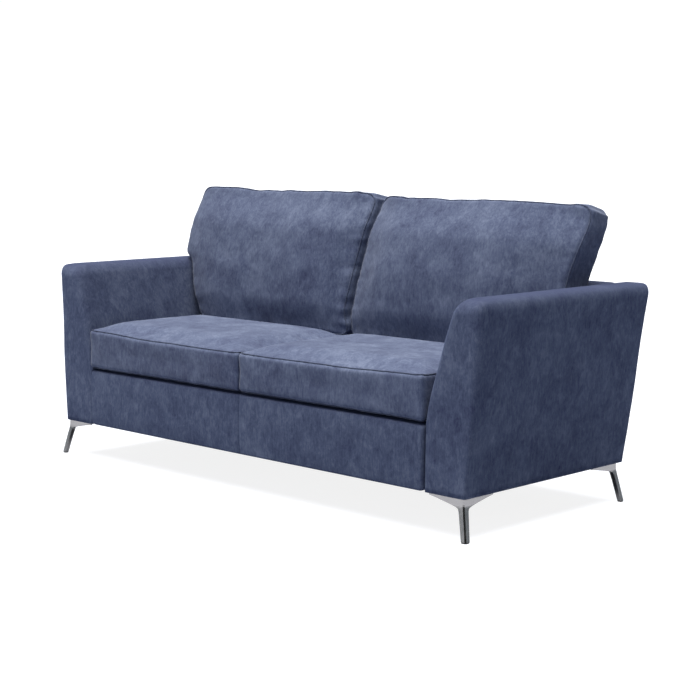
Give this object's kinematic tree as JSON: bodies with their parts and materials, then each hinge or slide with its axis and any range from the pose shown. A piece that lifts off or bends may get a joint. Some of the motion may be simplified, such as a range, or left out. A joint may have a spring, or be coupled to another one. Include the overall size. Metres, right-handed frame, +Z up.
{
  "type": "futon sofa bed",
  "caption": "Two-seat futon sofa bed with flared track arms, loose box cushions, splayed metal corner legs and a slatted platform that pulls out in front of the seat.",
  "frame": {"origin": "centre of the footprint on the floor, midway between the arms and midway from front to back", "axes": "+X along the seat to the sitter's left, which is the right-hand arm seen from the front; -Y is the front; +Z up"},
  "size_m": [2.0502, 0.8747, 0.9643],
  "materials": {
    "upholstery_fabric": "slate blue napped velour",
    "plywood": "unfinished plywood",
    "timber": "planed, unfinished",
    "lining_cloth": "thin black non-woven cloth",
    "polished_metal": "polished chrome",
    "black_plastic": "moulded, matte",
    "zinc_steel": "zinc plated",
    "black_steel": "black powder coat"
  },
  "bodies": {
    "sofa_base": {"arm_cover_left": "upholstery_fabric", "arm_cover_right": "upholstery_fabric", "arm_frame_left": "plywood", "arm_frame_right": "plywood", "arm_bottom_board_left": "plywood", "arm_bottom_board_right": "plywood", "back_cover": "upholstery_fabric", "back_top_rail": "timber", "back_bottom_rail": "timber", "back_post_left": "timber", "back_post_centre": "timber", "back_post_right": "timber", "base_side_panel_left": "plywood", "base_side_panel_right": "plywood", "deck_front_beam": "timber", "deck_rear_beam": "timber", "dust_cover": "lining_cloth", "fixed_slat_1": "timber", "fixed_slat_2": "timber", "fixed_slat_3": "timber", "fixed_slat_4": "timber", "corner_leg_front_left": "polished_metal", "corner_leg_front_right": "polished_metal", "corner_leg_rear_left": "polished_metal", "corner_leg_rear_right": "polished_metal", "leg_glide_front_left": "black_plastic", "leg_glide_front_right": "black_plastic", "leg_glide_rear_left": "black_plastic", "leg_glide_rear_right": "black_plastic", "runner_outer_left": "zinc_steel", "runner_outer_right": "zinc_steel", "seat_cushion_left": "upholstery_fabric", "seat_cushion_right": "upholstery_fabric", "back_cushion_left": "upholstery_fabric", "back_cushion_right": "upholstery_fabric"},
    "pull_out_platform": {"front_rail_cover": "upholstery_fabric", "front_rail_core": "plywood", "platform_ledger": "timber", "platform_rear_tie": "timber", "platform_side_rail_left": "timber", "platform_side_rail_right": "timber", "platform_slat_1": "timber", "platform_slat_2": "timber", "platform_slat_3": "timber", "platform_slat_4": "timber", "platform_slat_5": "timber", "runner_inner_left": "zinc_steel", "runner_inner_right": "zinc_steel", "folding_leg_bracket_left": "zinc_steel", "folding_leg_bracket_right": "zinc_steel"},
    "runner_middle_left": {"runner_mid_left": "zinc_steel"},
    "runner_middle_right": {"runner_mid_right": "zinc_steel"},
    "folding_leg_left": {"folding_leg_left": "black_steel", "folding_leg_foot_left": "black_plastic"},
    "folding_leg_right": {"folding_leg_right": "black_steel", "folding_leg_foot_right": "black_plastic"}
  },
  "joints": [
    {"name": "platform_slide", "type": "slide", "parent": "sofa_base", "child": "pull_out_platform", "axis": [0, -1, 0], "range_m": [0, 0.5]},
    {"name": "runner_left_slide", "type": "slide", "parent": "sofa_base", "child": "runner_middle_left", "axis": [0, -1, 0], "range_m": [0, 0.25]},
    {"name": "runner_right_slide", "type": "slide", "parent": "sofa_base", "child": "runner_middle_right", "axis": [0, -1, 0], "range_m": [0, 0.25]},
    {"name": "folding_leg_left_pivot", "type": "hinge", "parent": "pull_out_platform", "child": "folding_leg_left", "pos_m": [-0.72, -0.3765, 0.1918], "axis": [0, 1, 0], "range_deg": [0, 90]},
    {"name": "folding_leg_right_pivot", "type": "hinge", "parent": "pull_out_platform", "child": "folding_leg_right", "pos_m": [0.72, -0.3765, 0.1918], "axis": [0, -1, 0], "range_deg": [0, 90]}
  ],
  "couplings": [
    {"joint": "runner_left_slide", "follows": "platform_slide", "ratio": 0.5},
    {"joint": "runner_right_slide", "follows": "platform_slide", "ratio": 0.5},
    {"joint": "folding_leg_left_pivot", "follows": "platform_slide", "rad_per_m": 3.1415},
    {"joint": "folding_leg_right_pivot", "follows": "platform_slide", "rad_per_m": 3.1415}
  ]
}
